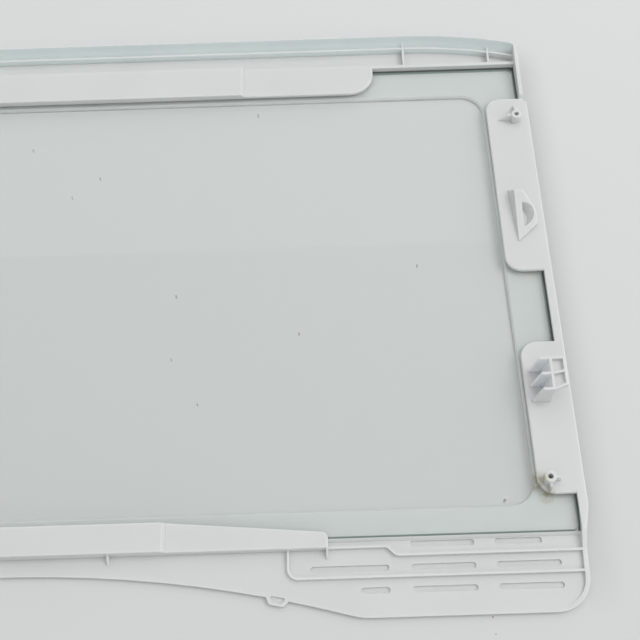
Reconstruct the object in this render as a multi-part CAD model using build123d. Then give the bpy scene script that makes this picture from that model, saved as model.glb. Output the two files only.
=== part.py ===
from build123d import *
import math
import os

# A refrigerator shelf: a glass pane held in one white moulded frame. It lies upside down, as it
# lies on a table: the rim of its top side is at z = 0 and its underside faces +Z. +X runs along the
# width and +Y towards the front trim, so the vented deck is at -Y. Lengths are in millimetres.

# Overall size
overall_width = 700.0
overall_depth = 432.0

# Thicknesses of the moulding and of the glass
skin = 2.8
plate_thickness = 2.2
wall = 2.6
rib = 1.4
glass_thickness = 4.0

# Glass pane: its clearances to the walls and its ground edge
side_gap = 1.6
front_gap = 2.8
glass_corner = 4.0
glass_chamfer = 0.4

# Rim lip on the top side of the glass, measured in from the edge of the glass
lip_side_front = 25.9
lip_side_rear = 22.9
lip_front = 23.3
lip_rear = 17.4
lip_corner = 16.0
lip_bevel = 1.2

# Small radii along the edges of the moulding
rim_round = 1.2
edge_round = 0.7

# Front trim: a channel with a bowed front, open to the underside
trim_depth = 26.7
trim_height = 15.2
front_wall = 1.4
front_round = 1.0
bow_radius = 315.0
bow_length = 82.4
trim_corner = 7.0
trim_floor = 4.0
long_rib_offset = 7.0
cross_rib_places = (85.4, 21.4)

# Side walls with an outward flange; the deck is a little narrower than the walls
flange_reach = 2.6
flange_thickness = 2.4
flange_front = 63.0
flange_rear = 62.0
flange_run = 22.0
deck_inset = 1.9
deck_taper_end = 25.0

# Crest of the side walls, from the front trim down to the front plates
crest_end_height = 2.6
crest_end_run = 1.6

# Side plates that lap over the glass
front_plate_reach = 23.8
rear_plate_reach = 21.9
plate_corner = 11.0
front_plate_start = 59.7
front_plate_length = 147.3
rear_plate_start = 68.8
rear_plate_length = 102.5

# Front and rear strips that lap over the glass, each with a raised middle
raise_height = 2.3
raise_ramp = 2.0
raise_setback = 96.5
front_strip_setback = 109.4
front_strip_reach = 23.5
front_strip_corner = 18.5
rear_strip_start = 40.0
rear_strip_depth = 18.0
rear_strip_setback = 153.9
rear_strip_tip = 9.6
rear_strip_corner = 4.0

# Rear deck: outline, upstand at the sides and stiffening ribs
deck_depth = 46.6
rear_corner = 20.0
rear_tail = 136.0
rear_arc_depth = 30.0
tail_round = 40.0
deck_wall_height = 2.6
wall_drop_run = 10.5
lower_rib_start = 23.2
lower_rib_lead = 24.0
lower_rib_corner = 6.0
upper_rib_start = 41.0
upper_rib_step = 5.3
upper_rib_run = 116.4
upper_rib_corner = 3.5
strip_gusset_run = 5.5
strip_gusset_pitch = 129.8

# Low ramp on the deck along the bare rear edge of the glass
ramp_gap = 0.3
ramp_run = 2.0
ramp_height = 2.4

# Recesses in the deck: distance from the rear edge, then of the inner end from the deck's side, and length
slot_width = 3.8
slot_depth = 1.2
slot_column_outer = 53.1
slot_column_middle = 103.5
slot_column_inner_end = 116.5
slot_length = 38.3
slot_length_first_row = 28.3
slot_length_long = 46.5
slot_length_short = 17.3
slot_rows = (42.4, 28.6, 15.5)

# Loop tab on the rear edge
tab_setback = 48.5
tab_base = 13.5
tab_tip = 9.0
tab_reach = 3.8
tab_round = 2.6
tab_rim = 1.2
tab_side_rim = 1.7
tab_recess_round = 1.0

# Screw bosses: distances from the side wall's outer face, and from the front or rear edge
boss_radius = 3.8
boss_chamfer = 0.5
boss_hole_radius = 1.65
boss_height = 7.0
boss_hole_bite = 0.8
boss_gusset_flat = 2.4
boss_gusset_drop = 1.0
front_gusset_angles = (90, 180)
rear_gusset_angles = (0, 270)
front_boss_inset = 7.7
front_boss_start = 79.7
front_gusset_run = 9.0
rear_boss_inset = 19.1
rear_boss_start = 77.3
rear_gusset_run = 3.5

# Ramped catch on the front plate
catch_inset = 17.4
catch_far = 147.5
catch_far_run = 5.6
catch_length = 37.0
catch_bulge = 13.3
catch_belly = 0.8
catch_shoulder = 12.0
catch_crown = 22.5
catch_bend = 1.0
catch_far_width = 1.6
catch_height = 8.5
catch_toe = 1.0
catch_lean = 2.6

# Its pocket: plan distances from the catch's back and near tip at the top, and the width and floor below
pocket_inset = 4.4
pocket_near = 9.4
pocket_length = 19.0
pocket_width = 11.0
pocket_floor_width = 3.6
pocket_floor_margin = 1.6

# Hooked stop on the rear plate: a web with a leaning left face, gussets and an overhanging ribbed ledge
stop_foot_inset = 22.6
stop_top_inset = 18.6
stop_web_inset = 12.8
stop_web_lean = 2.2
stop_right_inset = 2.9
stop_start = 128.5
stop_length = 22.5
stop_height = 19.0
stop_wall = 1.6
stop_skew = 3.4
stop_rib_count = 3
stop_cell_depth = 2.8
stop_ledge = 2.0

# Levels and lines worked out from the sizes above
half_width = overall_width / 2
front_y = overall_depth / 2
rear_y = -overall_depth / 2
wall_x = half_width - flange_reach
wall_inner_x = wall_x - wall
deck_x = wall_x - deck_inset
inner_wall_y = front_y - trim_depth
glass_x = wall_inner_x - side_gap
glass_front_y = inner_wall_y - front_gap
glass_rear_y = rear_y + deck_depth
plate_bottom = skin + glass_thickness
frame_top = plate_bottom + plate_thickness
raised_top = frame_top + raise_height
deck_wall_top = skin + deck_wall_height
bow_x = wall_x - bow_length
bow_centre_y = front_y - bow_radius
flange_front_y = front_y - flange_front
flange_rear_y = rear_y + flange_rear
taper_end_y = rear_y + deck_taper_end
strip_y = rear_y + rear_strip_start
front_strip_x = wall_x - front_strip_setback
rear_strip_x = wall_x - rear_strip_setback
tail_x = wall_x - rear_tail
rear_arc_radius = (tail_x**2 + rear_arc_depth**2) / (2 * rear_arc_depth)

# Walls start inside the skin that carries them, and carriers of a plate end inside it
root_z = skin / 2
plate_middle = plate_bottom + plate_thickness / 2

# Places closer than this are the same place
same_place = 0.01


def both_sides(solids):
    """The right-hand solids and their mirror images on the left."""
    return [*solids, *[mirror(solid, about=Plane.YZ) for solid in solids]]


def symmetric_face(right_edges):
    """A face closed by the right-hand edges and their mirror images."""
    left_edges = [edge.mirror(Plane.YZ) for edge in right_edges]
    return make_face([*right_edges, *left_edges])


def upright(face, bottom, top):
    """A plan face raised between two levels."""
    return Pos(0, 0, bottom) * extrude(face, top - bottom)


def along_x(points, left, right):
    """A profile of (y, z) points drawn out from left to right."""
    profile = Plane.YZ * make_face(Polyline(*points, close=True))
    return Pos(left, 0, 0) * extrude(profile, right - left)


def along_y(points, near, far):
    """A profile of (x, z) points drawn out from near to far."""
    profile = Plane.XZ * make_face(Polyline(*points, close=True))
    return Pos(0, far, 0) * extrude(profile, far - near)


def bow_point(radius, angle):
    """A point of the bowed front, at an angle from straight ahead."""
    return (bow_x + radius * math.sin(angle), bow_centre_y + radius * math.cos(angle))


def bow_edges(inset, end_x):
    """The front's line from the centre plane out to end_x, moved in from the outer edge."""
    radius = bow_radius - inset
    angle = math.asin((end_x - bow_x) / radius)
    bend = bow_point(radius, 0)
    return [
        Line((0, front_y - inset), bend),
        ThreePointArc(bend, bow_point(radius, angle / 2), bow_point(radius, angle)),
    ]


def front_edges(inset):
    """The front's outline from the centre plane round the corner, moved in from the outer edge."""
    corner_x = wall_x - trim_corner
    reach = bow_radius - trim_corner
    angle = math.asin((corner_x - bow_x) / reach)
    corner_y = bow_centre_y + reach * math.cos(angle)
    radius = trim_corner - inset
    middle = (angle + math.pi / 2) / 2
    bow = bow_edges(inset, bow_x + (bow_radius - inset) * math.sin(angle))
    corner_middle = (corner_x + radius * math.sin(middle), corner_y + radius * math.cos(middle))
    corner = ThreePointArc(bow[-1] @ 1, corner_middle, (corner_x + radius, corner_y))
    return [*bow, corner]


def outline_face():
    """The whole outline of the shelf in plan."""
    front = front_edges(0)
    shoulder = (wall_x, flange_rear_y)
    hip = (deck_x, taper_end_y)
    corner_start = (deck_x, rear_y + rear_corner)
    corner_end = (deck_x - rear_corner, rear_y)
    tail = (tail_x, rear_y)
    arc_middle_x = tail_x / 2
    arc_drop = rear_arc_radius - math.sqrt(rear_arc_radius**2 - arc_middle_x**2)
    arc_middle = (arc_middle_x, rear_y + rear_arc_depth - arc_drop)
    right = [
        *front,
        Line(front[-1] @ 1, shoulder),
        Line(shoulder, hip),
        Line(hip, corner_start),
        RadiusArc(corner_start, corner_end, rear_corner),
        Line(corner_end, tail),
        ThreePointArc(tail, arc_middle, (0, rear_y + rear_arc_depth)),
    ]
    face = symmetric_face(right)
    tails = [v for v in face.vertices() if abs(abs(v.X) - tail_x) < same_place]
    return fillet(tails, tail_round)


def lip_opening(margin):
    """The opening that the rim lip leaves, grown by a margin."""
    front = glass_front_y - lip_front + margin
    rear = glass_rear_y + lip_rear - margin
    front_x = glass_x - lip_side_front + margin
    rear_x = glass_x - lip_side_rear + margin
    corners = [(front_x, front), (rear_x, rear), (-rear_x, rear), (-front_x, front)]
    face = make_face(Polyline(*corners, close=True))
    return fillet(face.vertices(), lip_corner + margin)


def skin_plate():
    """The top skin, with the opening that the rim lip leaves, bevelled towards the glass."""
    plate = extrude(outline_face(), skin)
    rim = plate.faces().sort_by(Axis.Z)[0].outer_wire().edges()
    plate = chamfer(rim, rim_round)
    bevel = loft([Pos(0, 0, skin - lip_bevel) * lip_opening(0), Pos(0, 0, skin) * lip_opening(lip_bevel)])
    return plate - upright(lip_opening(0), 0, skin) - bevel


def trim_face(inset, rear):
    """The front trim in plan, moved in from its outer edge and closed at a rear line."""
    front = front_edges(inset)
    rear_corner_point = (wall_x - inset, rear)
    return symmetric_face([
        *front,
        Line(front[-1] @ 1, rear_corner_point),
        Line(rear_corner_point, (0, rear)),
    ])


def between_walls(near, far):
    """The plan between the inner faces of the two side walls, from near to far."""
    return Pos(0, (near + far) / 2) * Rectangle(2 * wall_inner_x, far - near)


def front_trim():
    """The trim's channel with its thin front wall and its inner wall, and the crests of the side walls."""
    crest_end = front_y - front_plate_start
    wall_far = inner_wall_y + wall
    block = upright(trim_face(0, crest_end), root_z, trim_height)
    crest = block.faces().sort_by(Axis.Z)[-1].edges().sort_by(Axis.Y)[1:]
    block = fillet(crest, front_round)
    channel_face = trim_face(front_wall, wall_far) & between_walls(inner_wall_y, front_y)
    corner_y = (front_edges(0)[-1] @ 1).Y
    above = [
        (corner_y, trim_height),
        (crest_end + crest_end_run, frame_top + crest_end_height),
        (crest_end, frame_top),
        (crest_end - wall, frame_top),
        (crest_end - wall, trim_height + wall),
        (corner_y, trim_height + wall),
    ]
    return block.cut(
        upright(channel_face, trim_floor, trim_height),
        upright(between_walls(inner_wall_y, wall_far), frame_top, trim_height),
        upright(between_walls(crest_end - wall, inner_wall_y), 0, trim_height),
        along_x(above, -half_width, half_width),
    )


def front_cove():
    """The cove from the crest of the front wall to the long rib, along the straight and the bow."""
    wall_y = front_y - front_wall
    back = wall_y + front_wall / 2
    cove_round = trim_height - trim_floor - front_wall / 2
    top = trim_floor + cove_round
    centre_y = wall_y - cove_round
    rib_y = front_y - long_rib_offset - rib / 2
    foot_angle = math.asin(max(rib_y - centre_y, 0) / cove_round)
    middle_angle = (foot_angle + math.pi / 2) / 2
    foot, middle = [
        (centre_y + cove_round * math.sin(angle), top - cove_round * math.cos(angle))
        for angle in (foot_angle, middle_angle)
    ]
    profile = Plane.YZ * make_face([
        ThreePointArc(foot, middle, (wall_y, top)),
        Polyline((wall_y, top), (back, top), (back, root_z), (foot[0], root_z), foot),
    ])
    straight = Pos(-bow_x, 0, 0) * extrude(profile, 2 * bow_x)
    turn = math.degrees(math.asin(bow_length / (bow_radius - front_wall - cove_round)))
    bow_axis = Axis((bow_x, bow_centre_y, 0), (0, 0, -1))
    bow = revolve(Pos(bow_x, 0, 0) * profile, bow_axis, turn)
    bow = bow & upright(trim_face(front_wall / 2, inner_wall_y), 0, trim_height)
    return [straight, *both_sides([bow])]


def long_rib():
    """The rib that runs along the trim's channel, following the bowed front."""
    end_x = wall_x - front_wall / 2
    outer = bow_edges(long_rib_offset, end_x)
    inner = bow_edges(long_rib_offset + rib, end_x)
    face = symmetric_face([*outer, Line(outer[-1] @ 1, inner[-1] @ 1), *inner])
    return upright(face, root_z, frame_top)


def cross_rib(place):
    """A short rib across the trim's channel, at a distance from the side wall's outer face."""
    x = wall_x - place
    bend = max(x - bow_x, 0)
    front = bow_centre_y + math.sqrt(bow_radius**2 - bend**2) - front_wall / 2
    rear = inner_wall_y + wall / 2
    face = Pos(x, (front + rear) / 2) * Rectangle(rib, front - rear)
    return upright(face, root_z, frame_top)


def side_edges(inset):
    """The side's line from the inner wall of the trim to the rear edge, moved in by inset."""
    start = (wall_x - inset, inner_wall_y + wall / 2)
    shoulder = (wall_x - inset, flange_rear_y)
    hip = (deck_x - inset, taper_end_y)
    corner_start = (deck_x - inset, rear_y + rear_corner)
    corner_end = (deck_x - rear_corner, rear_y + inset)
    return [
        Line(start, shoulder),
        Line(shoulder, hip),
        Line(hip, corner_start),
        RadiusArc(corner_start, corner_end, rear_corner - inset),
    ]


def side_wall():
    """The right-hand wall with its flange; it steps down to a low upstand beside the deck."""
    outer = side_edges(0)
    inner = side_edges(wall)
    ends = [Line(outer[0] @ 0, inner[0] @ 0), Line(outer[-1] @ 1, inner[-1] @ 1)]
    band = upright(make_face([*outer, *inner, *ends]), root_z, frame_top)
    flange_points = [
        (wall_inner_x, flange_front_y),
        (half_width, flange_front_y),
        (half_width, flange_rear_y),
        (deck_x, flange_rear_y - flange_run),
        (deck_x - wall / 2, flange_rear_y - flange_run),
    ]
    flange_face = make_face(Polyline(*flange_points, close=True))
    flange = upright(flange_face, frame_top - flange_thickness, frame_top)
    flange_edge = flange.edges().filter_by(Axis.Y).sort_by(Axis.X)[-2:]
    flange = fillet(flange_edge, edge_round)
    above = [
        (glass_rear_y, frame_top),
        (glass_rear_y - wall_drop_run, deck_wall_top),
        (rear_y + rear_corner, deck_wall_top),
        (rear_y + wall, skin),
        (rear_y - wall, skin),
        (rear_y - wall, frame_top + wall),
        (glass_rear_y, frame_top + wall),
    ]
    return band + flange - along_x(above, 0, half_width)


def side_plate(near, far, reach):
    """A plate that laps over the right-hand edge of the glass, with rounded inner corners."""
    inner_x = glass_x - reach
    outer_x = wall_x - wall / 2
    face = Pos((inner_x + outer_x) / 2, (near + far) / 2) * Rectangle(outer_x - inner_x, far - near)
    face = fillet(face.vertices().sort_by(Axis.X)[:2], plate_corner)
    plate = upright(face, plate_bottom, frame_top)
    top_edges = plate.faces().sort_by(Axis.Z)[-1].edges().sort_by(Axis.X)[:-1]
    return chamfer(top_edges, edge_round)


def strip_profile(end_x):
    """The height of a strip along the width, with a raised middle that ramps down."""
    raise_x = end_x - raise_setback
    right = [
        (end_x, plate_bottom),
        (end_x, frame_top),
        (raise_x, frame_top),
        (raise_x - raise_ramp, raised_top),
    ]
    left = [(-x, z) for x, z in reversed(right)]
    return [*right, *left]


def rounded_strip(face, end_x, square_y):
    """A strip from its plan face, cut to the raised profile and rounded on top, except along square_y."""
    box = face.bounding_box()
    strip = upright(face, plate_bottom, raised_top) & along_y(strip_profile(end_x), box.min.Y, box.max.Y)
    rim = []
    for edge in strip.edges():
        place = edge.center()
        on_top = edge.bounding_box().min.Z > frame_top - same_place
        ridge = abs(edge.tangent_at(0).Y) > 1 - same_place and abs(place.X) < end_x - wall
        if on_top and not ridge and abs(place.Y - square_y) > same_place:
            rim.append(edge)
    return fillet(rim, edge_round)


def front_strip():
    """The strip from the trim's inner wall over the front edge of the glass."""
    near = inner_wall_y - front_strip_reach
    far = inner_wall_y + wall
    face = Pos(0, (near + far) / 2) * Rectangle(2 * front_strip_x, far - near)
    face = fillet(face.vertices().sort_by(Axis.Y)[:2], front_strip_corner)
    return rounded_strip(face, front_strip_x, far)


def rear_strip():
    """The strip over the rear edge of the glass, with the wall that carries it on the deck."""
    raise_x = rear_strip_x - raise_setback
    far = strip_y + rear_strip_depth
    tip = (rear_strip_x, strip_y + rear_strip_tip)
    right = [
        Line((0, far), (raise_x, far)),
        Line((raise_x, far), tip),
        Line(tip, (rear_strip_x, strip_y)),
        Line((rear_strip_x, strip_y), (0, strip_y)),
    ]
    face = symmetric_face(right)
    tips = [v for v in face.vertices() if abs(v.Y - tip[1]) < same_place]
    face = fillet(tips, rear_strip_corner)
    strip = rounded_strip(face, rear_strip_x, front_y)
    rear_wall = Pos(0, strip_y + wall / 2) * Rectangle(2 * rear_strip_x, wall)
    end_depth = glass_rear_y - side_gap / 2 - strip_y
    end_wall = Pos(rear_strip_x - wall / 2, strip_y + end_depth / 2) * Rectangle(wall, end_depth)
    end_walls = both_sides([upright(end_wall, root_z, plate_middle)])
    return [strip, upright(rear_wall, root_z, plate_middle), *end_walls]


def strip_gusset(x):
    """A triangular gusset from the deck up the rear face of the rear strip."""
    foot = strip_y - strip_gusset_run
    points = [
        (strip_y + wall / 2, root_z),
        (foot, root_z),
        (foot, skin),
        (strip_y, frame_top - edge_round),
        (strip_y + wall / 2, frame_top - edge_round),
    ]
    return along_x(points, x - rib, x)


def deck_ribs():
    """The two ribs that run along the deck from the rear strip to the side wall."""
    side = deck_x - wall / 2
    lower_x = rear_strip_x - lower_rib_lead
    lower_y = rear_y + lower_rib_start
    lower = FilletPolyline(
        (lower_x, strip_y + wall / 2),
        (lower_x, lower_y),
        (side, lower_y),
        radius=lower_rib_corner,
    )
    upper_y = rear_y + upper_rib_start
    step_x = wall_x - upper_rib_run
    upper = FilletPolyline(
        (rear_strip_x - wall / 2, upper_y),
        (step_x - upper_rib_step / 2, upper_y),
        (step_x + upper_rib_step / 2, upper_y - upper_rib_step),
        (side, upper_y - upper_rib_step),
        radius=upper_rib_corner,
    )
    return [upright(trace(path, rib), root_z, deck_wall_top) for path in (lower, upper)]


def glass_ramp():
    """The low ramp on the deck along the bare part of the glass's rear edge."""
    far = glass_rear_y - ramp_gap
    near = glass_rear_y - ramp_run
    points = [(far, root_z), (far, skin + ramp_height), (near, skin), (near, root_z)]
    return along_x(points, rear_strip_x - wall / 2, deck_x - wall / 2)


def deck_recesses():
    """The long shallow recesses in the right half of the deck."""
    first, second, third = slot_rows
    inner_end = deck_x - slot_column_inner_end
    outer = deck_x - slot_column_outer
    middle = deck_x - slot_column_middle
    places = [
        (outer, first, slot_length_first_row),
        (middle, first, slot_length),
        (outer, second, slot_length),
        (middle, second, slot_length),
        (inner_end - slot_length_long, second, slot_length_long),
        (outer, third, slot_length),
        (middle, third, slot_length),
        (inner_end - slot_length_short, third, slot_length_short),
    ]
    recesses = []
    for left, row, length in places:
        slot = Pos(left + length / 2, rear_y + row) * SlotOverall(length, slot_width)
        recesses.append(upright(slot, skin - slot_depth, skin))
    return recesses


def loop_tab():
    """The tab on the curved rear edge and the recess in it."""
    x = tail_x - tab_setback
    lean = math.asin(x / rear_arc_radius)
    y = rear_y + rear_arc_depth - rear_arc_radius * (1 - math.cos(lean))
    place = Location((x, y, 0), (0, 0, -math.degrees(lean)))
    base = tab_base / 2
    tip = tab_tip / 2
    tab_face = make_face(Polyline(
        (-base, tab_rim),
        (base, tab_rim),
        (base, 0),
        (tip, -tab_reach),
        (-tip, -tab_reach),
        (-base, 0),
        close=True,
    ))
    tab_face = fillet(tab_face.vertices().sort_by(Axis.Y)[:2], tab_round)
    recess_base = base - tab_side_rim
    recess_tip = tip - tab_side_rim
    recess_face = make_face(Polyline(
        (-recess_base, tab_rim),
        (recess_base, tab_rim),
        (recess_tip, tab_rim - tab_reach),
        (-recess_tip, tab_rim - tab_reach),
        close=True,
    ))
    recess_face = fillet(recess_face.vertices(), tab_recess_round)
    tab = place * upright(tab_face, 0, skin)
    recess = place * upright(recess_face, skin - slot_depth, skin)
    return tab, recess


def gusset_plate(x, y, angle, run, top):
    """A thin triangular plate that leans against a boss, turned about the boss's axis."""
    toe = boss_radius + run
    points = [
        (0, plate_middle),
        (toe, plate_middle),
        (toe, frame_top),
        (boss_radius + boss_gusset_flat, top),
        (0, top),
    ]
    plate = along_y(points, -rib / 2, rib / 2)
    return Location((x, y, 0), (0, 0, angle)) * plate


def screw_boss(x, y, gusset_angles, gusset_run):
    """A screw boss on a side plate with its gussets, and the hole down it."""
    top = frame_top + boss_height
    height = top - plate_bottom
    post = Pos(x, y, plate_bottom + height / 2) * Cylinder(boss_radius, height)
    post = chamfer(post.edges().sort_by(Axis.Z)[-1:], boss_chamfer)
    gusset_top = top - boss_gusset_drop
    gussets = [gusset_plate(x, y, angle, gusset_run, gusset_top) for angle in gusset_angles]
    depth = boss_height + boss_hole_bite
    hole = Pos(x, y, top - depth / 2) * Cylinder(boss_hole_radius, depth)
    return [post, *gussets], hole


def bulged_face(x, near, far, width):
    """A plan face with a straight left side and a bulging right side."""
    return make_face([
        Line((x, far), (x, near)),
        ThreePointArc((x, near), (x + width, (near + far) / 2), (x, far)),
    ])


def catch_pocket(x, near, top):
    """The pocket in the catch, wider at its top than at its floor."""
    far = near + pocket_length
    margin = pocket_floor_margin
    opening = Pos(0, 0, top) * bulged_face(x, near, far, pocket_width)
    floor = Pos(0, 0, frame_top) * bulged_face(x, near + margin, far - margin, pocket_floor_width)
    return loft([floor, opening])


def ramped_catch():
    """The hollow catch on the front plate: a leaning back, a bulging side and a sloping top and end."""
    back_x = wall_x - catch_inset
    far = front_y - catch_far
    near = far - catch_length
    right_x = back_x + catch_bulge
    shoulder = (right_x, near + catch_shoulder)
    crown = (right_x, near + catch_crown)
    foot_far = far + catch_far_run
    far_corner = (back_x + catch_far_width, foot_far)
    belly = (right_x + catch_belly, (shoulder[1] + crown[1]) / 2)
    bend = ((right_x + far_corner[0]) / 2 + catch_bend, (crown[1] + foot_far) / 2)
    foot = (back_x - catch_lean, foot_far)
    face = make_face([
        Line((back_x, near), shoulder),
        ThreePointArc(shoulder, belly, crown),
        ThreePointArc(crown, bend, far_corner),
        Line(far_corner, foot),
        Line(foot, (back_x, near)),
    ])
    top = frame_top + catch_height
    body = upright(face, plate_middle, top)
    body = body - catch_pocket(back_x + pocket_inset, near + pocket_near, top)
    slope = [
        (foot_far + catch_toe, frame_top),
        (foot_far, frame_top),
        (far, top),
        (near, frame_top + catch_toe),
        (near - catch_toe, frame_top + catch_toe),
        (near - catch_toe, top + catch_toe),
        (foot_far + catch_toe, top + catch_toe),
    ]
    body = body - along_x(slope, foot[0], wall_x)
    foot_line = Vector(back_x - foot[0], near - foot_far, 0)
    top_line = Vector(back_x - foot[0], far - foot_far, catch_height)
    lean = Plane((*foot, frame_top), x_dir=foot_line, z_dir=foot_line.cross(top_line))
    return split(body, lean, Keep.BOTTOM)


def rib_face(left, right, thickness):
    """The plan of a rib between two points, thick towards +Y."""
    return make_face(Polyline(
        left,
        right,
        (right[0], right[1] + thickness),
        (left[0], left[1] + thickness),
        close=True,
    ))


def hooked_stop():
    """The stop on the rear plate: gussets, a web with a leaning face and a ribbed ledge that overhangs."""
    near = rear_y + stop_start
    far = near + stop_length
    top = frame_top + stop_height
    cell_floor = top - stop_cell_depth
    foot_x = wall_x - stop_foot_inset
    top_x = wall_x - stop_top_inset
    web_x = wall_x - stop_web_inset
    right_x = wall_x - stop_right_inset
    pitch = (stop_length - stop_wall) / (stop_rib_count - 1)
    web_points = [
        (web_x - stop_web_lean, plate_middle),
        (web_x, top),
        (web_x + stop_wall, top),
        (web_x + stop_wall, plate_middle),
    ]
    gusset_points = [
        (foot_x, plate_middle),
        (foot_x, frame_top),
        (top_x, top),
        (web_x + stop_wall / 2, top),
        (web_x + stop_wall / 2 - stop_web_lean, plate_middle),
    ]
    ledge_near = near + stop_skew
    ledge = rib_face((web_x + stop_wall / 2, near), (right_x, ledge_near), stop_wall)
    ledge_middle = Pos((web_x + right_x) / 2, (ledge_near + far) / 2)
    ledge = ledge + ledge_middle * Rectangle(right_x - web_x, far - ledge_near)
    rim = Pos(right_x - stop_wall / 2, (ledge_near + far) / 2) * Rectangle(stop_wall, far - ledge_near)
    pieces = [
        along_y(web_points, near, far),
        upright(ledge, cell_floor - stop_ledge, cell_floor),
        upright(rim, cell_floor - stop_ledge / 2, top),
    ]
    for i in range(stop_rib_count):
        y = near + i * pitch
        right_y = y + stop_skew * (1 - i / (stop_rib_count - 1))
        rib_plan = rib_face((web_x + stop_wall / 2, y), (right_x, right_y), stop_wall)
        pieces.append(along_y(gusset_points, y, y + stop_wall))
        pieces.append(upright(rib_plan, cell_floor - stop_ledge / 2, top))
    return pieces


def frame():
    """The one-piece moulded frame."""
    front_plate_far = front_y - front_plate_start
    rear_plate_near = rear_y + rear_plate_start
    front_boss_place = (wall_x - front_boss_inset, front_y - front_boss_start)
    rear_boss_place = (wall_x - rear_boss_inset, rear_y + rear_boss_start)
    front_boss, front_hole = screw_boss(*front_boss_place, front_gusset_angles, front_gusset_run)
    rear_boss, rear_hole = screw_boss(*rear_boss_place, rear_gusset_angles, rear_gusset_run)
    tab, tab_recess = loop_tab()
    right = [
        *[cross_rib(place) for place in cross_rib_places],
        side_wall(),
        side_plate(front_plate_far - front_plate_length, front_plate_far, front_plate_reach),
        side_plate(rear_plate_near, rear_plate_near + rear_plate_length, rear_plate_reach),
        *deck_ribs(),
        glass_ramp(),
        strip_gusset(rear_strip_x),
        strip_gusset(rear_strip_x - strip_gusset_pitch),
        tab,
        *front_boss,
        *rear_boss,
        ramped_catch(),
        *hooked_stop(),
    ]
    added = [front_trim(), *front_cove(), long_rib(), front_strip(), *rear_strip(), *both_sides(right)]
    cuts = both_sides([tab_recess, front_hole, rear_hole, *deck_recesses()])
    return skin_plate().fuse(*added).cut(*cuts).clean()


def glass_pane():
    """The glass pane, with ground edges."""
    depth = glass_front_y - glass_rear_y
    face = Pos(0, (glass_front_y + glass_rear_y) / 2) * RectangleRounded(2 * glass_x, depth, glass_corner)
    pane = upright(face, skin, plate_bottom)
    faces = pane.faces().sort_by(Axis.Z)
    return chamfer([*faces[0].edges(), *faces[-1].edges()], glass_chamfer)


os.makedirs("parts", exist_ok=True)
export_step(frame(), "parts/frame.step")
export_step(glass_pane(), "parts/glass_pane.step")
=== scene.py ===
import math

import bpy
from mathutils import Matrix, Vector


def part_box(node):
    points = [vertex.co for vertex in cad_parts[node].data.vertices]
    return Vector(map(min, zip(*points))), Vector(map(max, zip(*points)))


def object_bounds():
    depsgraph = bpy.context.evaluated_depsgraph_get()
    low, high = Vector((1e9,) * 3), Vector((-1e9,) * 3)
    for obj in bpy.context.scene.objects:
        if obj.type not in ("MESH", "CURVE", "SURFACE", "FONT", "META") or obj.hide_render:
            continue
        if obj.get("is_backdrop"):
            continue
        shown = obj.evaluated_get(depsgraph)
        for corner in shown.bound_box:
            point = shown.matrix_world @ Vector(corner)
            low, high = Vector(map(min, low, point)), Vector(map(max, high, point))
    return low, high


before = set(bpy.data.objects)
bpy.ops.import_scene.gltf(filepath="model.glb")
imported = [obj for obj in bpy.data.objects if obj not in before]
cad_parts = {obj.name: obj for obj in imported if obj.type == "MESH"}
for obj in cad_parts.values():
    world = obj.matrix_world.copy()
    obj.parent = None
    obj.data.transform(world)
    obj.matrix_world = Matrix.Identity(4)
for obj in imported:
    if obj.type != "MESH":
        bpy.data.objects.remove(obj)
cad_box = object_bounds()

# A glass refrigerator shelf in a white moulded frame, lying underside up on a pale table.
# Places and lengths are in metres, and colours are linear.
shelf_high = cad_box[1]
pane_low, pane_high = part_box("glass_pane")

# The camera stands where the photograph was taken from
camera_place = Vector((0.1942, -0.3432, 0.6093))
camera_pitch = math.radians(27.99)
camera_yaw = math.radians(0.26)
camera_roll = math.radians(-2.06)
camera_lens = 58.14
camera_sensor = 36.0
camera_clip = 0.01

# Colours of the moulding, the dirt, the glass and the table, and of the painted light and shade on them
plastic_light = (0.675, 0.688, 0.678, 1.0)
plastic_dark = (0.650, 0.666, 0.655, 1.0)
cove_painted_light_pale = (0.740, 0.800, 0.795, 1.0)
cove_painted_light_deep = (0.720, 0.780, 0.775, 1.0)
stop_painted_light = (0.812, 0.824, 0.842, 1.0)
gap_painted_shade = (0.185, 0.203, 0.196, 1.0)
grime = (0.400, 0.355, 0.230, 1.0)
speck = (0.230, 0.215, 0.190, 1.0)
glass_tint = (0.925, 0.945, 0.935, 1.0)
lamp_tint = (0.945, 0.955, 0.950, 1.0)
# The ground edge is darker than its own colour, as painted shade of the gaps round the pane
glass_edge_shaded = (0.240, 0.305, 0.285, 1.0)
floor_far_painted_light = (0.690, 0.690, 0.690, 1.0)
floor_near_painted_shade = (0.645, 0.645, 0.645, 1.0)
floor_shade = (0.590, 0.590, 0.590, 1.0)

# The cove of the front trim is painted paler and bluer, where its faces look to the rear: painted light,
# standing in for daylight through its thin wall
cove_depth = (shelf_high.y - 0.014, shelf_high.y - 0.012)
cove_facing = (-0.05, -0.3)

# The pockets of the hooked stops are painted pale and bluish, on faces that don't look up: painted light,
# lifting the shade inside the pockets
stop_foot = 0.0092
stop_width = (0.3240, 0.3352)
stop_depth = (-0.0866, -0.0645)
stop_facing = (0.4, 0.6)

# The gap round the glass is painted dark, as painted shade of the deep narrow gap, within these limits of
# height, width and depth
gap_height = (pane_low.z - 0.0001, pane_low.z + 0.0023)
gap_width = (pane_high.x - 0.0001, pane_high.x + 0.0017)
gap_depth = (pane_high.y - 0.0003, pane_high.y + 0.00295)
gap_rear = pane_low.y + 0.0004

# Painted light and shade on the table: it is painted a little darker towards the near side, and carries a
# painted shadow in a soft band along the shelf's right side
floor_light_fade = (-0.25, 0.25)
floor_band_start = shelf_high.x - 0.006
floor_band_fall = (shelf_high.x, shelf_high.x + 0.023)
floor_band_ends = (shelf_high.y - 0.027, shelf_high.y + 0.003)

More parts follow.
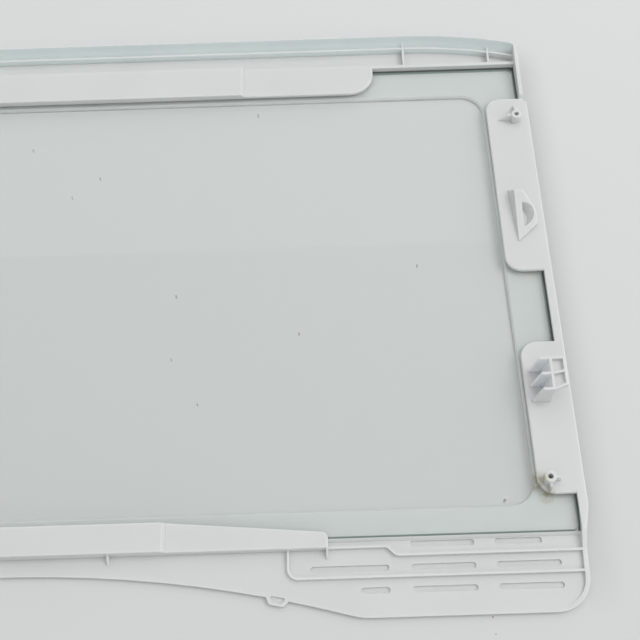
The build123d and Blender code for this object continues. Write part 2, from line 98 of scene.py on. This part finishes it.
# Places in plan and radii of the yellow grime beside a screw boss and of the specks of dirt
grime_spots = [(0.3205, -0.1385, 0.0075), (0.3265, -0.1475, 0.0055)]
glass_specks = [
    (0.1517, 0.1501, 0.0008),
    (0.0386, 0.0976, 0.0007),
    (0.0199, 0.0819, 0.0006),
    (-0.0121, 0.1245, 0.0007),
    (0.0968, -0.0013, 0.0008),
    (0.1787, -0.0322, 0.0007),
    (0.0953, -0.0482, 0.0006),
    (0.2597, 0.0168, 0.0007),
    (0.1132, -0.0805, 0.0006),
    (0.3008, -0.1498, 0.0012),
]
floor_specks = [(0.2873, -0.2172, 0.0007), (0.2880, -0.2268, 0.0005)]

# Width over which a mask changes, and the share of a spot's radius within which it is solid
mask_edge = 0.0001
spot_core = 0.4

# Noise as (scale, detail), and the part of its range that is used
mottle_noise = (14.0, 4.0)
mottle_range = (0.35, 0.65)
patch_noise = (320.0, 3.0)
patch_range = (0.35, 0.6)
patch_share = (0.15, 0.85)
wear_noise = (60.0, 4.0)
wear_range = (0.3, 0.7)
smear_noise = (9.0, 5.0)
smear_range = (0.35, 0.65)

# Fine grain of the surfaces: its depth and detail, and the scale and strength on each material
grain_depth = 0.0002
grain_detail = 2.0
plastic_grain = (1800.0, 0.04)
edge_grain = (2500.0, 0.2)
floor_grain = (900.0, 0.03)

# Gloss of the materials, and the light that spreads inside the white plastic, so that thin ribs glow
plastic_roughness = (0.36, 0.50)
plastic_ior = 1.49
plastic_glow = 0.7
plastic_glow_depth = 0.003
plastic_glow_colours = (1.0, 1.0, 1.0)
glass_roughness = (0.008, 0.028)
glass_ior = 1.5
edge_roughness = 0.45
floor_roughness = 0.7

# A Mix node has sockets for each kind of data: these are the factor, the two colours and the mixed colour
mix_inputs = (0, 6, 7)
mix_output = 2

# A face of the pane whose normal has less than this along Z belongs to its ground edge
edge_steepness = 0.9

# The pane is drawn this much smaller on each side, clear of the frame, and the table this much lower
glass_clearance = 0.00008
floor_size = 14.0
floor_drop = 0.0002

# Light of the room, which comes mostly from above and the right
sky_direction = (0.45, 0.05, 0.89)
sky_level = 0.63
sky_swing = 0.27
sky_colour = (0.992, 0.998, 1.008, 1.0)

# Two soft lamps: the key light at the right, and a window over the far side of the table
key_place = (2.15, 0.24, 2.85)
key_target = (0.25, 0.0, 0.0)
key_size = (1.5, 1.5)
key_power = 30.0
key_colour = (1.01, 1.0, 0.985)
window_place = (-0.05, 1.25, 1.2)
window_target = (-0.05, 1.25, 0.0)
window_size = (2.1, 0.94)
window_power = 1.7
window_colour = (0.85, 1.0, 0.97)


def feed(tree, socket, value):
    """Links a socket to another one, or sets it to a plain value."""
    if isinstance(value, bpy.types.NodeSocket):
        tree.links.new(value, socket)
    else:
        socket.default_value = value


def linked(tree, kind, **inputs):
    """A new shader node with some of its inputs set to values or linked to other sockets."""
    node = tree.nodes.new(kind)
    for name, value in inputs.items():
        feed(tree, node.inputs[name.replace("_", " ")], value)
    return node


def new_material(name):
    """An empty node material: (material, its tree, the place of each point on the object)."""
    material = bpy.data.materials.new(name)
    material.use_nodes = True
    tree = material.node_tree
    tree.nodes.clear()
    return material, tree, tree.nodes.new("ShaderNodeTexCoord").outputs["Object"]


def set_surface(tree, shader):
    """Makes a shader the surface of its material."""
    linked(tree, "ShaderNodeOutputMaterial", Surface=shader)


def noise(tree, place, scale, detail):
    """Soft noise between 0 and 1."""
    return linked(tree, "ShaderNodeTexNoise", Vector=place, Scale=scale, Detail=detail).outputs["Fac"]


def grained(tree, place, scale, strength):
    """A surface normal roughened by fine grain."""
    height = noise(tree, place, scale, grain_detail)
    bump = linked(tree, "ShaderNodeBump", Strength=strength, Distance=grain_depth, Height=height)
    return bump.outputs["Normal"]


def mottled(tree, place, low, high):
    """A colour that drifts between two values with soft noise."""
    ramp = linked(tree, "ShaderNodeValToRGB", Fac=noise(tree, place, *mottle_noise))
    for element, colour, position in zip(ramp.color_ramp.elements, (low, high), mottle_range):
        element.color = colour
        element.position = position
    return ramp.outputs["Color"]


def blended(tree, share, first, second):
    """Two colours mixed by a share of the second."""
    mix = tree.nodes.new("ShaderNodeMix")
    mix.data_type = "RGBA"
    for index, value in zip(mix_inputs, (share, first, second)):
        feed(tree, mix.inputs[index], value)
    return mix.outputs[mix_output]


def ranged(tree, value, low, high, at_low=0.0, at_high=1.0):
    """A value carried from one range to another, and kept within it."""
    limits = {"From_Min": low, "From_Max": high, "To_Min": at_low, "To_Max": at_high}
    return linked(tree, "ShaderNodeMapRange", Value=value, **limits).outputs["Result"]


def falling(tree, value, low, high):
    """1 up to the low limit, and 0 from the high one."""
    return ranged(tree, value, low, high, 1.0, 0.0)


def inside(tree, value, low, high):
    """1 where a value lies between two limits, and 0 elsewhere."""
    above = ranged(tree, value, low, low + mask_edge)
    below = falling(tree, value, high, high + mask_edge)
    return overlap(tree, above, below)


def combined(tree, operation, first, second):
    """Two values joined by an operation."""
    node = tree.nodes.new("ShaderNodeMath")
    node.operation = operation
    tree.links.new(first, node.inputs[0])
    tree.links.new(second, node.inputs[1])
    return node.outputs["Value"]


def overlap(tree, first, *others):
    """1 where all the masks are 1."""
    mask = first
    for other in others:
        mask = combined(tree, "MULTIPLY", mask, other)
    return mask


def absolute(tree, value):
    """The size of a value without its sign."""
    node = tree.nodes.new("ShaderNodeMath")
    node.operation = "ABSOLUTE"
    tree.links.new(value, node.inputs[0])
    return node.outputs["Value"]


def spots(tree, place, places):
    """1 within round spots of the plan, fading at their edges; each is (x, y, radius)."""
    flat = tree.nodes.new("ShaderNodeVectorMath")
    flat.operation = "MULTIPLY"
    flat.inputs[1].default_value = (1.0, 1.0, 0.0)
    tree.links.new(place, flat.inputs[0])
    mask = None
    for x, y, radius in places:
        away = tree.nodes.new("ShaderNodeVectorMath")
        away.operation = "DISTANCE"
        away.inputs[1].default_value = (x, y, 0.0)
        tree.links.new(flat.outputs["Vector"], away.inputs[0])
        spot = falling(tree, away.outputs["Value"], radius * spot_core, radius)
        mask = spot if mask is None else combined(tree, "MAXIMUM", mask, spot)
    return mask


def frame_colour(tree, place):
    """White, with painted light in the cove and the stop pockets, painted shade in the gap round the glass,
    and some grime.
    """
    x, y, z = linked(tree, "ShaderNodeSeparateXYZ", Vector=place).outputs
    normal = tree.nodes.new("ShaderNodeNewGeometry").outputs["Normal"]
    facing = linked(tree, "ShaderNodeSeparateXYZ", Vector=normal).outputs
    across = absolute(tree, x)
    colour = mottled(tree, place, plastic_dark, plastic_light)

    # Painted light: the cove is paler and bluer on faces that look to the rear
    in_cove_painted_light = overlap(tree, ranged(tree, y, *cove_depth), ranged(tree, facing["Y"], *cove_facing))
    colour = blended(tree, in_cove_painted_light, colour, mottled(tree, place, cove_painted_light_deep, cove_painted_light_pale))

    # Painted light: the side faces in the stop pockets are paler and bluish
    in_stop_painted_light = overlap(
        tree,
        inside(tree, across, *stop_width),
        inside(tree, y, *stop_depth),
        ranged(tree, z, stop_foot, stop_foot + mask_edge),
        falling(tree, facing["Z"], *stop_facing),
    )
    colour = blended(tree, in_stop_painted_light, colour, stop_painted_light)

    # Painted shade: the walls and floor of the deep narrow gap round the glass are darkened
    gap_outside = gap_width[1]
    gap_front = gap_depth[1]
    beside = inside(tree, across, *gap_width)
    before = inside(tree, y, *gap_depth)
    in_gap_painted_shade = overlap(
        tree,
        combined(tree, "MAXIMUM", beside, before),
        inside(tree, y, gap_rear, gap_front),
        falling(tree, across, gap_outside, gap_outside + mask_edge),
        inside(tree, z, *gap_height),
    )
    colour = blended(tree, in_gap_painted_shade, colour, gap_painted_shade)

    patchy = ranged(tree, noise(tree, place, *patch_noise), *patch_range, *patch_share)
    return blended(tree, overlap(tree, spots(tree, place, grime_spots), patchy), colour, grime)


def plastic_material():
    """White moulded plastic with a satin skin, in which light spreads a little."""
    material, tree, place = new_material("moulded_plastic")
    shader = linked(
        tree,
        "ShaderNodeBsdfPrincipled",
        Base_Color=frame_colour(tree, place),
        Roughness=ranged(tree, noise(tree, place, *wear_noise), *wear_range, *plastic_roughness),
        IOR=plastic_ior,
        Subsurface_Weight=plastic_glow,
        Subsurface_Radius=plastic_glow_colours,
        Subsurface_Scale=plastic_glow_depth,
        Normal=grained(tree, place, *plastic_grain),
    )
    set_surface(tree, shader.outputs["BSDF"])
    return material


def lit_through(tree, surface):
    """A surface that lets the light which falls on other things pass straight through it."""
    clear = linked(tree, "ShaderNodeBsdfTransparent", Color=lamp_tint)
    path = tree.nodes.new("ShaderNodeLightPath")
    lighting = combined(tree, "MAXIMUM", path.outputs["Is Shadow Ray"], path.outputs["Is Diffuse Ray"])
    shader = linked(tree, "ShaderNodeMixShader", Fac=lighting)
    tree.links.new(surface.outputs["BSDF"], shader.inputs[1])
    tree.links.new(clear.outputs["BSDF"], shader.inputs[2])
    return shader.outputs["Shader"]


def glass_material():
    """Clear float glass with a faint green tint, smears and specks of dirt."""
    material, tree, place = new_material("float_glass")
    dirty = spots(tree, place, glass_specks)
    glass = linked(
        tree,
        "ShaderNodeBsdfPrincipled",
        Base_Color=blended(tree, dirty, glass_tint, speck),
        Roughness=ranged(tree, noise(tree, place, *smear_noise), *smear_range, *glass_roughness),
        IOR=glass_ior,
        Transmission_Weight=falling(tree, dirty, 0.0, 1.0),
    )
    set_surface(tree, lit_through(tree, glass))
    return material


def glass_edge_material():
    """The ground edge of the pane, duller and greener than its faces, and darker as painted shade of the
    gaps round the pane.
    """
    material, tree, place = new_material("ground_glass_edge")
    shader = linked(
        tree,
        "ShaderNodeBsdfPrincipled",
        Base_Color=glass_edge_shaded,
        Roughness=edge_roughness,
        IOR=glass_ior,
        Normal=grained(tree, place, *edge_grain),
    )
    set_surface(tree, lit_through(tree, shader))
    return material


def floor_material():
    """The pale table, painted lighter towards the far side, with a painted shadow along the shelf's right
    side and specks of dirt.
    """
    material, tree, place = new_material("pale_table")
    x, y, z = linked(tree, "ShaderNodeSeparateXYZ", Vector=place).outputs
    # Painted light: the table is lighter towards the far side
    colour = blended(tree, ranged(tree, y, *floor_light_fade), floor_near_painted_shade, floor_far_painted_light)
    # Painted shadow: a soft dark band on the table along the shelf's right side
    outward = falling(tree, x, *floor_band_fall)
    outward.node.interpolation_type = "SMOOTHSTEP"
    band = overlap(
        tree,
        ranged(tree, x, floor_band_start, floor_band_start + mask_edge),
        outward,
        falling(tree, absolute(tree, y), *floor_band_ends),
    )
    colour = blended(tree, band, colour, floor_shade)
    colour = blended(tree, spots(tree, place, floor_specks), colour, speck)
    shader = linked(
        tree,
        "ShaderNodeBsdfPrincipled",
        Base_Color=colour,
        Roughness=floor_roughness,
        Normal=grained(tree, place, *floor_grain),
    )
    set_surface(tree, shader.outputs["BSDF"])
    return material


def dress(node, *materials):
    """Gives a node its materials."""
    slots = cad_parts[node].data.materials
    slots.clear()
    for material in materials:
        slots.append(material)


def dress_pane():
    """Clear glass on the pane's two faces and a ground edge round it, drawn clear of the frame."""
    dress("glass_pane", glass_material(), glass_edge_material())
    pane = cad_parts["glass_pane"]
    for polygon in pane.data.polygons:
        polygon.material_index = 1 if abs(polygon.normal.z) < edge_steepness else 0
    shrink = pane.modifiers.new("clearance", "DISPLACE")
    shrink.strength = -glass_clearance
    shrink.mid_level = 0.0


def add_floor():
    """The table under the shelf."""
    half = floor_size / 2
    corners = [(-half, -half, 0), (half, -half, 0), (half, half, 0), (-half, half, 0)]
    mesh = bpy.data.meshes.new("table")
    mesh.from_pydata(corners, [], [(0, 1, 2, 3)])
    mesh.materials.append(floor_material())
    table = bpy.data.objects.new("table", mesh)
    table.location.z = -floor_drop
    bpy.context.scene.collection.objects.link(table)
    table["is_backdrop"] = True


def add_camera():
    """The camera at the photograph's place."""
    data = bpy.data.cameras.new("camera")
    data.lens = camera_lens
    data.sensor_width = camera_sensor
    data.clip_start = camera_clip
    camera = bpy.data.objects.new("camera", data)
    turn = Matrix.Rotation(camera_yaw, 4, "Z") @ Matrix.Rotation(camera_pitch, 4, "X")
    camera.matrix_world = Matrix.Translation(camera_place) @ turn @ Matrix.Rotation(camera_roll, 4, "Z")
    bpy.context.scene.collection.objects.link(camera)
    bpy.context.scene.camera = camera


def add_lamp(name, place, target, size, power, colour):
    """A soft lamp of (width, depth) at a place, turned towards a target."""
    data = bpy.data.lights.new(name, "AREA")
    data.shape = "RECTANGLE"
    data.size, data.size_y = size
    data.energy = power
    data.color = colour
    lamp = bpy.data.objects.new(name, data)
    lamp.location = place
    lamp.rotation_euler = (Vector(target) - Vector(place)).to_track_quat("-Z", "Y").to_euler()
    bpy.context.scene.collection.objects.link(lamp)


def add_world():
    """The light of the room, which falls off smoothly away from one direction."""
    world = bpy.data.worlds.new("room")
    world.use_nodes = True
    tree = world.node_tree
    direction = tree.nodes.new("ShaderNodeTexCoord").outputs["Generated"]
    facing = tree.nodes.new("ShaderNodeVectorMath")
    facing.operation = "DOT_PRODUCT"
    tree.links.new(direction, facing.inputs[0])
    facing.inputs[1].default_value = sky_direction
    level = tree.nodes.new("ShaderNodeMath")
    level.operation = "MULTIPLY_ADD"
    tree.links.new(facing.outputs["Value"], level.inputs[0])
    level.inputs[1].default_value = sky_swing
    level.inputs[2].default_value = sky_level
    background = tree.nodes["Background"]
    background.inputs["Color"].default_value = sky_colour
    tree.links.new(level.outputs["Value"], background.inputs["Strength"])
    bpy.context.scene.world = world


dress("frame", plastic_material())
dress_pane()
add_floor()
add_camera()
add_world()
add_lamp("key", key_place, key_target, key_size, key_power, key_colour)
add_lamp("window", window_place, window_target, window_size, window_power, window_colour)
bpy.context.scene.view_settings.view_transform = "Standard"

boxes = {"cad": cad_box, "visual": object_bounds()}
boxes = {name: [list(corner) for corner in box] for name, box in boxes.items()}
